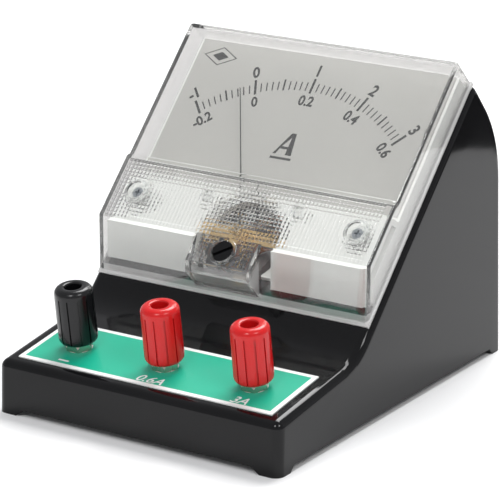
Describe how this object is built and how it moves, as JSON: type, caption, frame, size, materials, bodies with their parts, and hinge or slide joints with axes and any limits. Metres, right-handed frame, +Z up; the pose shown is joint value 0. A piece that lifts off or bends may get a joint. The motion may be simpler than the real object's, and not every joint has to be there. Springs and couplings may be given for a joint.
{
  "type": "ammeter",
  "caption": "Bench DC ammeter with a sloping clear-covered dial, moving-coil galvanometer movement and screw terminals in a black case.",
  "frame": {"origin": "centre of the bounding box's underside, on the table", "axes": "+X to the right seen from the dial, +Y to the back, +Z up"},
  "size_m": [0.1, 0.1324, 0.0997],
  "materials": {
    "case_black": "glossy black ABS moulding",
    "base_black": "satin black ABS",
    "label_green": "screen printed green and white label",
    "screw_zinc": "zinc plated steel",
    "terminal_nickel": "nickel plated brass",
    "cap_black": "glossy black phenolic",
    "cap_red": "glossy red plastic",
    "tinned_brass": "tinned brass",
    "manganin": "bare manganin strip",
    "cover_clear": "clear moulded polystyrene",
    "carrier_white": "satin white ABS",
    "dial_print": "grey lacquered aluminium, black print",
    "frame_black": "black moulded frame",
    "soft_iron": "blackened soft iron",
    "magnet_alloy": "ground magnet alloy",
    "brass_plain": "plain brass",
    "bridge_alloy": "satin aluminium alloy",
    "spring_bronze": "phosphor bronze",
    "coil_aluminium": "thin aluminium sheet",
    "coil_copper": "enamelled copper wire",
    "pivot_steel": "polished hardened steel",
    "pointer_black": "black lacquered aluminium tube",
    "lead_black": "black insulated wire",
    "lead_red": "red insulated wire"
  },
  "bodies": {
    "meter": {"case_shell": "case_black", "base_plate": "base_black", "base_screws": "screw_zinc", "terminal_label": "label_green", "terminal_studs": "terminal_nickel", "terminal_washers": "terminal_nickel", "terminal_collars": "terminal_nickel", "solder_tags": "tinned_brass", "stud_nuts": "terminal_nickel", "shunt_high": "manganin", "shunt_low": "manganin", "shunt_washers": "terminal_nickel", "clear_cover": "cover_clear", "cover_screws": "screw_zinc", "dial_carrier": "carrier_white", "dial_plate": "dial_print", "frame_screws": "screw_zinc", "pointer_stops": "pivot_steel", "movement_frame": "frame_black", "yoke_ring": "soft_iron", "core_magnet": "magnet_alloy", "core_supports": "brass_plain", "upper_bridge": "bridge_alloy", "lower_bridge": "bridge_alloy", "bridge_screws": "screw_zinc", "upper_jewel_screw": "brass_plain", "lower_jewel_screw": "brass_plain", "upper_hairspring": "spring_bronze", "lower_hairspring": "spring_bronze", "lead_black": "lead_black", "lead_red": "lead_red"},
    "coil_and_pointer": {"coil_former": "coil_aluminium", "coil_winding": "coil_copper", "pivot_staffs": "pivot_steel", "pointer": "pointer_black", "balance_weights": "brass_plain"},
    "zero_screw": {"zero_adjuster": "frame_black"},
    "zero_lever": {"zero_lever": "bridge_alloy"},
    "press_common": {"press_washer_common": "terminal_nickel"},
    "cap_common": {"cap_common": "cap_black"},
    "press_low": {"press_washer_low": "terminal_nickel"},
    "cap_low": {"cap_low": "cap_red"},
    "press_high": {"press_washer_high": "terminal_nickel"},
    "cap_high": {"cap_high": "cap_red"}
  },
  "joints": [
    {"name": "pointer_swing", "type": "hinge", "parent": "meter", "child": "coil_and_pointer", "pos_m": [0, -0.00377, 0.04284], "axis": [0, 0.7133, -0.7009], "range_deg": [-20, 70], "stiffness_Nm_per_rad": 0.00002},
    {"name": "zero_screw_turn", "type": "hinge", "parent": "meter", "child": "zero_screw", "pos_m": [0, -0.00959, 0.03692], "axis": [0, -0.7133, 0.7009], "range_deg": [-60, 60]},
    {"name": "zero_lever_swing", "type": "hinge", "parent": "meter", "child": "zero_lever", "pos_m": [0, -0.00377, 0.04284], "axis": [0, -0.7133, 0.7009], "range_deg": [-7.08, 7.08]},
    {"name": "cap_common_lift", "type": "slide", "parent": "meter", "child": "press_common", "axis": [0, -0.1444, 0.9895], "range_m": [0, 0.0032]},
    {"name": "cap_common_turn", "type": "hinge", "parent": "press_common", "child": "cap_common", "pos_m": [-0.0312, -0.05104, 0.02862], "axis": [0, -0.1444, 0.9895], "range_deg": [0, 1440]},
    {"name": "cap_low_lift", "type": "slide", "parent": "meter", "child": "press_low", "axis": [0, -0.1444, 0.9895], "range_m": [0, 0.0032]},
    {"name": "cap_low_turn", "type": "hinge", "parent": "press_low", "child": "cap_low", "pos_m": [0, -0.05104, 0.02862], "axis": [0, -0.1444, 0.9895], "range_deg": [0, 1440]},
    {"name": "cap_high_lift", "type": "slide", "parent": "meter", "child": "press_high", "axis": [0, -0.1444, 0.9895], "range_m": [0, 0.0032]},
    {"name": "cap_high_turn", "type": "hinge", "parent": "press_high", "child": "cap_high", "pos_m": [0.0312, -0.05104, 0.02862], "axis": [0, -0.1444, 0.9895], "range_deg": [0, 1440]}
  ],
  "couplings": [
    {"joint": "zero_lever_swing", "follows": "zero_screw_turn", "ratio": 0.118},
    {"joint": "cap_common_turn", "follows": "cap_common_lift", "rad_per_m": 7854},
    {"joint": "cap_low_turn", "follows": "cap_low_lift", "rad_per_m": 7854},
    {"joint": "cap_high_turn", "follows": "cap_high_lift", "rad_per_m": 7854}
  ]
}
